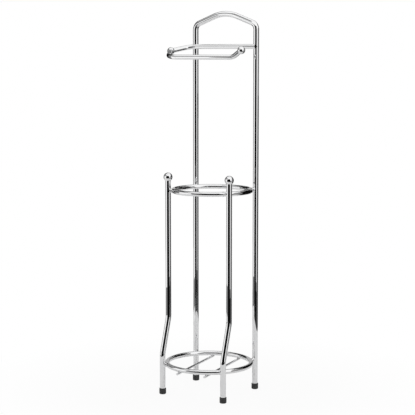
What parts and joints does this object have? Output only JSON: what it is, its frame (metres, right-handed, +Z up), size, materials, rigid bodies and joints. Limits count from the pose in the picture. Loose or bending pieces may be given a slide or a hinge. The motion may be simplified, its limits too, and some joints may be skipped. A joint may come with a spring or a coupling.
{
  "type": "toilet roll storage holder",
  "caption": "Free-standing wire and tube holder: a tall hoop carries a roll arm with ball ends, and an open ringed column below stores spare toilet rolls.",
  "frame": {"origin": "on the floor under the middle of the base ring, which is the bottom centre of the whole stand", "axes": "+Z up, -Y towards the user who takes paper, +X to that user's right, where the arm's open tip is"},
  "size_m": [0.1767, 0.1571, 0.6495],
  "materials": {
    "chrome_tube": "bright chrome plate on bent steel tube",
    "chrome_rod": "bright chrome plate on solid steel rod and wire",
    "chrome_balls": "bright chrome plate on turned steel balls",
    "weld_metal": "chrome plate over small rounded welds",
    "rubber_feet": "soft black rubber, slightly dusty"
  },
  "bodies": {
    "root": {"rear_hoop": "chrome_tube", "rear_leg_left": "chrome_tube", "rear_leg_right": "chrome_tube", "front_leg_left": "chrome_tube", "front_leg_right": "chrome_tube", "upper_ring": "chrome_rod", "base_ring": "chrome_rod", "base_wire_left": "chrome_rod", "base_wire_right": "chrome_rod", "arm_rear_rod": "chrome_rod", "arm_front_bar": "chrome_rod", "arm_corner_ball": "chrome_balls", "arm_tip_ball": "chrome_balls", "leg_ball_left": "chrome_balls", "leg_ball_right": "chrome_balls", "foot_front_left": "rubber_feet", "foot_front_right": "rubber_feet", "foot_rear_left": "rubber_feet", "foot_rear_right": "rubber_feet", "upper_ring_welds": "weld_metal", "base_ring_welds": "weld_metal", "base_wire_welds": "weld_metal", "arm_welds": "weld_metal"}
  },
  "joints": []
}
